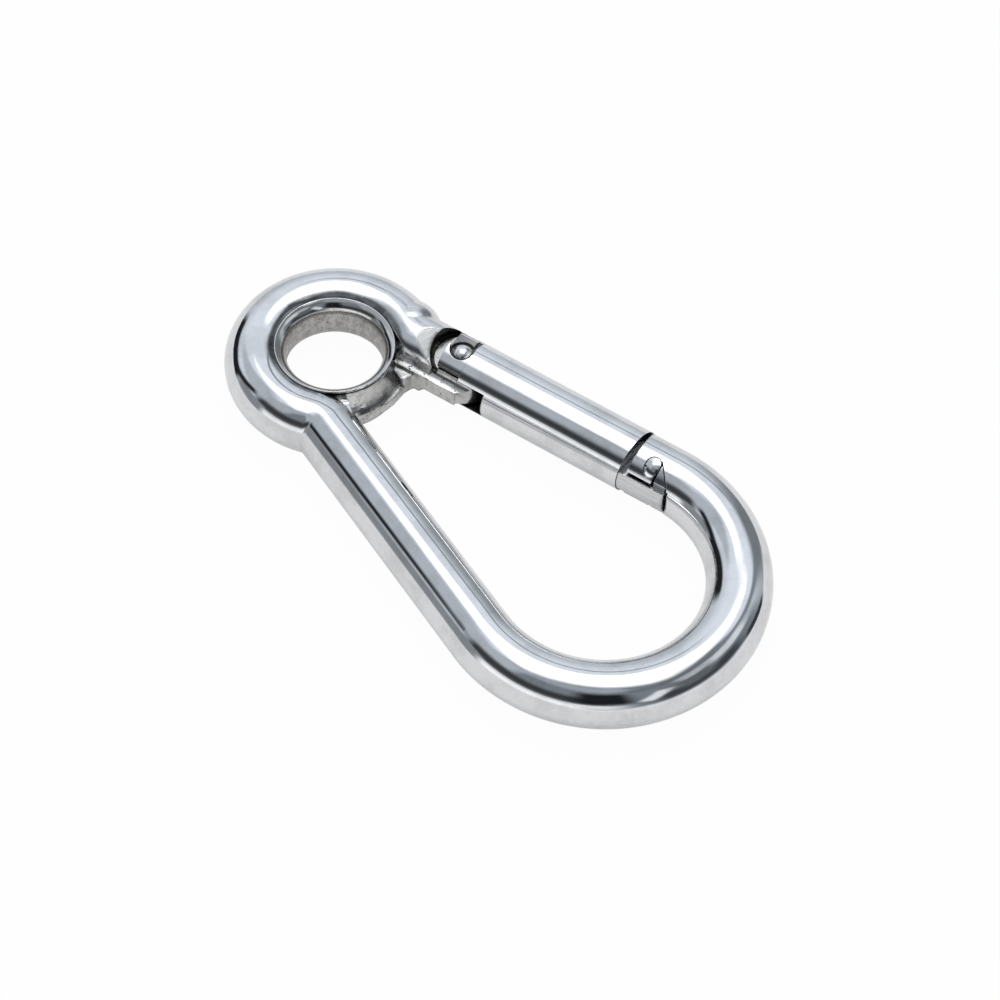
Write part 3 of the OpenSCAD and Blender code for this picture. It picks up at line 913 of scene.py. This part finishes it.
@dataclass(frozen=True)
class Sizes:
    """The hook's own sizes that its zones go by, in millimetres, and directions in degrees.

    Attributes:
        band_r: How far from the eyelet's axis the bar was left as forged.
        band: The directions from that axis between which it was, from leg to leg.
        bore: The wall of the eyelet's bore, by its distance from the axis.
        tongue: The heights of the hinge tongue's lower and upper side.
        pocket_r: The distance from the rivet of the wall behind the gate's ears.
        slot: The heights of the lower and upper side of the gate's slot.
        slot_end: How far it runs from the rivet.
        ear_flat: How far in from the rivet the ears are cut flat.
        spot_z: How high the flat round the rivet's head lies over the mid-plane.
        spot_end: How far it runs from the rivet.
        sunk_z: How high the round that is sunk into it lies.
        nose_r: The distance of the nose's end from the rivet.
        nose_slot: Half the width of the nose's slot.
    """

    band_r: float = 10.6
    band: Span = (-57.0, 44.0)
    bore: Span = (7.3, 8.05)
    tongue: Span = (-1.95, 2.62)
    pocket_r: float = 5.0
    slot: Span = (-2.12, 2.72)
    slot_end: float = 6.8
    ear_flat: float = 3.6
    spot_z: float = 4.0
    spot_end: float = 0.98
    sunk_z: float = 3.5
    nose_r: float = 32.55
    nose_slot: float = 2.43


@dataclass
class Hook:
    """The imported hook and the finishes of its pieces.

    Attributes:
        nodes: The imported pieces.
        layout: Where the hinge is and how the gate lies.
        sizes: The sizes that the zones go by.
    """

    nodes: dict[str, bpy.types.Object]
    layout: Layout
    sizes: Sizes = Sizes()

    def forged(self) -> tuple[Zone, Zone]:
        """The places of the bar that no wheel reached.

        Returns:
            The band by the eyelet, and the hinge tongue with its root.
        """
        bridge = Zone(BRIDGE_SKIN, (
            at((Gauge.EYE_R, 0.0, self.sizes.band_r, 0.3), (Gauge.EYE_ANGLE, *self.sizes.band, 2.0)),))
        tongue = Zone(TONGUE_SKIN, (
            at((Gauge.RUN, -5.2, 7.0, 0.1), (Gauge.HEIGHT, *self.sizes.tongue, 0.05),
               (Gauge.OUT, -9.0, 5.0, 0.2)),
            at((Gauge.RUN, -12.0, -3.0, 0.5), (Gauge.OUT, -14.0, -5.0, 0.2),
               (Gauge.FACE, 0.0, 3.3, 0.3)),))
        return bridge, tongue

    def rim(self) -> Zone:
        """The loop's inner wall by the eyelet's flare, tinted darker than steel is.

        The tint is a painted dark reflection: it stands for a dark surrounding that the studio lacks.

        Returns:
            The zone, which leaves out the forged band.
        """
        band_start, band_end = self.sizes.band
        inner = (Gauge.HEIGHT, 2.4, 6.0, 0.8)
        # painted reflection: the dark tint and the darker smear paint the dark surroundings that this wall
        # mirrors
        return Zone(MirrorPolish(tint="8E8F91", smear="37383A", rough=0.05, dull=0.10), (
            at((Gauge.EYE_R, 0.0, 10.2, 0.7), inner, (Gauge.EYE_ANGLE, band_end, HALF_TURN + 1, 8.0)),
            at((Gauge.EYE_R, 0.0, 10.0, 0.5), inner, (Gauge.EYE_ANGLE, -HALF_TURN - 1, band_start, 8.0)),
        ), 0.85)

    def body(self) -> Dressing:
        """The bar: mirror polished, forged by the eye and on the tongue, cut at the hinge and the nose.

        Returns:
            Its dressing.
        """
        sizes = self.sizes
        wall_high = sizes.pocket_r + 0.06
        # the pocket's wall round the ears: tinted darker than steel is, painted shade for the unlit place
        # it lies in
        pocket = Zone(WheelCut(tint="55534F", groove="1E1C1A", rough=(0.12, 0.26), across=0.5, depth=5.0), (
            at((Gauge.TURN_R, sizes.pocket_r - 0.1, wall_high, 0.03), (Gauge.FACE, 2.3, 6.0, 0.1),
               (Gauge.RUN, -6.0, 0.5, 0.1)),
            at((Gauge.TURN_R, sizes.pocket_r - 0.7, wall_high, 0.03), (Gauge.HEIGHT, 1.6, 4.0, 0.1),
               (Gauge.RUN, -6.0, -2.0, 0.1)),))
        # the flat ground behind the hinge: an even grey
        facet = Zone(replace(MILLED, tint="B8B9BA", groove="A2A4A6", rough=(0.34, 0.42), depth=0.8,
                             turn=(0.0, 0.0, 75.0)), (
            at(at_face(Gauge.FACET, 0.0, 0.03), (Gauge.RUN, -14.0, -4.0, 0.1),
               (Gauge.OUT, -5.0, 5.2, 0.1)),))
        # the nose's end and the walls of its slot, as the cutter left them
        nose = Zone(MILLED, (
            at((Gauge.TURN_R, sizes.nose_r - 0.15, sizes.nose_r + 0.15, 0.05),
               (Gauge.RUN, 31.0, 33.0, 0.1)),
            at((Gauge.FACE, 0.0, sizes.nose_slot, 0.03), (Gauge.RUN, 32.0, 39.8, 0.05),
               (Gauge.OUT, -4.45, 3.0, 0.05)),))
        # the tongue's forged root and the swelling at the loop's end, whose edges are rounder
        root = at((Gauge.RUN, -12.5, -3.4, 1.0), (Gauge.OUT, -14.0, 0.5, 0.5))
        swelling = at((Gauge.RUN, -16.0, -6.4, 0.6), (Gauge.OUT, 0.0, 9.0, 1.0))
        return Dressing(MirrorPolish(), (self.rim(), *self.forged(), pocket, facet, nose),
                        worn=(root, swelling))

    def eyelet(self) -> Dressing:
        """The eyelet: bore and waist satin as drawn, flares and rims polished.

        Returns:
            Its dressing.
        """
        bore = Zone(DrawnSatin(), (
            at((Gauge.EYE_R, *self.sizes.bore, 0.25), (Gauge.HEIGHT, -2.4, 2.6, 0.8)),))
        return Dressing(MirrorPolish(tint="DEDEDD", smear="CBCAC8", rough=0.06, dull=0.14,
                                     waves=((6.0, 4.0), (0.8, 1.5))), (bore,), edge=0.06, reach=0.5)

    def gate(self) -> Dressing:
        """The gate: mirror polished, with milled slots, ears, shoulder and latch tongue.

        Returns:
            Its dressing.
        """
        sizes = self.sizes
        # the slot's walls and the ears' flat ends, tinted darker than steel is: painted shade inside the
        # slot
        slot = Zone(replace(MILLED, tint="8F9092", groove="3C3C3D"), (
            at((Gauge.RUN, -5.0, sizes.slot_end, 0.03), (Gauge.HEIGHT, *sizes.slot, 0.02)),
            at(at_face(Gauge.OUT, -sizes.ear_flat, 0.03), (Gauge.RUN, -3.0, 2.0, 0.05)),))
        # the shoulder, which faces the nose across a narrow gap, tinted darker: painted shade of that gap
        shoulder = Zone(replace(MILLED, tint="77787A", groove="2C2C2D", rough=(0.12, 0.24)), (
            at(at_face(Gauge.SHOULDER, 0.0), (Gauge.RUN, 30.0, 33.0, 0.1)),))
        # the flat milled round the rivet's head: grey, with lines along the gate
        ears = Zone(replace(MILLED, tint="8E9092", groove="5F6163", rough=(0.26, 0.38), across=0.22), (
            at(at_face(Gauge.FACE, sizes.spot_z), (Gauge.RUN, -5.0, sizes.spot_end, 0.02),
               (Gauge.OUT, -0.2, 5.0, 0.02)),))
        # the round sunk into it: a dark tint, painted shadow of the head, which makes a dark ring round the
        # head
        sunk = Zone(replace(MILLED, tint="6A6865", groove="2A2826", rough=(0.2, 0.35)), (
            at((Gauge.FACE, sizes.sunk_z - 0.2, sizes.sunk_z + 0.06, 0.1), (Gauge.RUN, -2.2, 2.0, 0.03),
               (Gauge.OUT, -2.2, 3.6, 0.05)),))
        # the latch tongue beyond the shoulder: bright, with faint lines
        latch = Zone(replace(MILLED, tint="DCDDDE", groove="B9BBBD", rough=(0.10, 0.22), depth=1.5), (
            at((Gauge.SHOULDER, 0.06, 9.0, 0.02),),), 0.8)
        return Dressing(MirrorPolish(), (slot, shoulder, ears, sunk, latch))

    def dress(self) -> None:
        """Puts each piece's material in its slots."""
        small = MirrorPolish(waves=((1.0, 1.2), (0.6, 0.5)), rough=0.07, dull=0.14)
        rivet = replace(small, tint="F0F0F1", rough=0.16, dull=0.22)
        turned = WheelCut(tint="C4C5C6", groove="8A8C8E", across=0.1, turn=(0.0, 90.0, 10.9))
        wire = WheelCut(tint="B4B5B6", groove="6F7174", rough=(0.22, 0.4), across=0.08)
        dressings = {
            # drop-forged bar: mirror bright, with grey, lumpy skin where no wheel reaches
            "hook_body": ("forged_polished_stainless", self.body()),
            # pressed sheet: bright rolled rims round a soft, speckled bore
            "eyelet": ("pressed_stainless", self.eyelet()),
            # machined bar: mirror bright outside, with lined grey cuts
            "gate": ("milled_polished_stainless", self.gate()),
            # headed cold: a white, slightly blurred dome
            "hinge_rivet": ("cold_headed_stainless", Dressing(rivet, edge=0.06, reach=0.35)),
            # barrel-finished pin: bright, with a clean dark outline
            "latch_pin": ("barrel_polished_stainless", Dressing(small, edge=0.08, reach=0.2)),
            # turned on a lathe: grey, with rings round its axis
            "gate_plunger": ("turned_stainless", Dressing(turned)),
            # drawn wire: dark grey, with lines along it
            "gate_spring": ("drawn_spring_wire", Dressing(wire)),
        }
        for name, (finish, dressing) in dressings.items():
            slots = self.nodes[name].data.materials
            steel = dressing.material(finish, self.layout)
            for i in range(len(slots)):
                slots[i] = steel
            LOG.info("dressed %s in %s", name, finish)


def main() -> None:
    """Sets up the studio and dresses the hook."""
    logging.basicConfig(level=logging.INFO, format="%(name)s: %(message)s")
    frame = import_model()
    bpy.context.view_layer.update()
    bpy.context.scene.view_settings.view_transform = "Standard"
    studio = Studio()
    studio.camera()
    studio.floor()
    studio.surroundings()
    joints = {joint["name"]: joint for joint in frame["record"]["behaviour"]["joints"]}
    layout = Layout(hinge=Vector(joints["gate_hinge"]["pos_m"]) / MM,
                    along=Vector(joints["plunger_slide"]["axis"]))
    Hook(frame["nodes"], layout).dress()
    bpy.context.view_layer.update()
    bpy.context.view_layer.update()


if __name__ == "__main__":
    main()
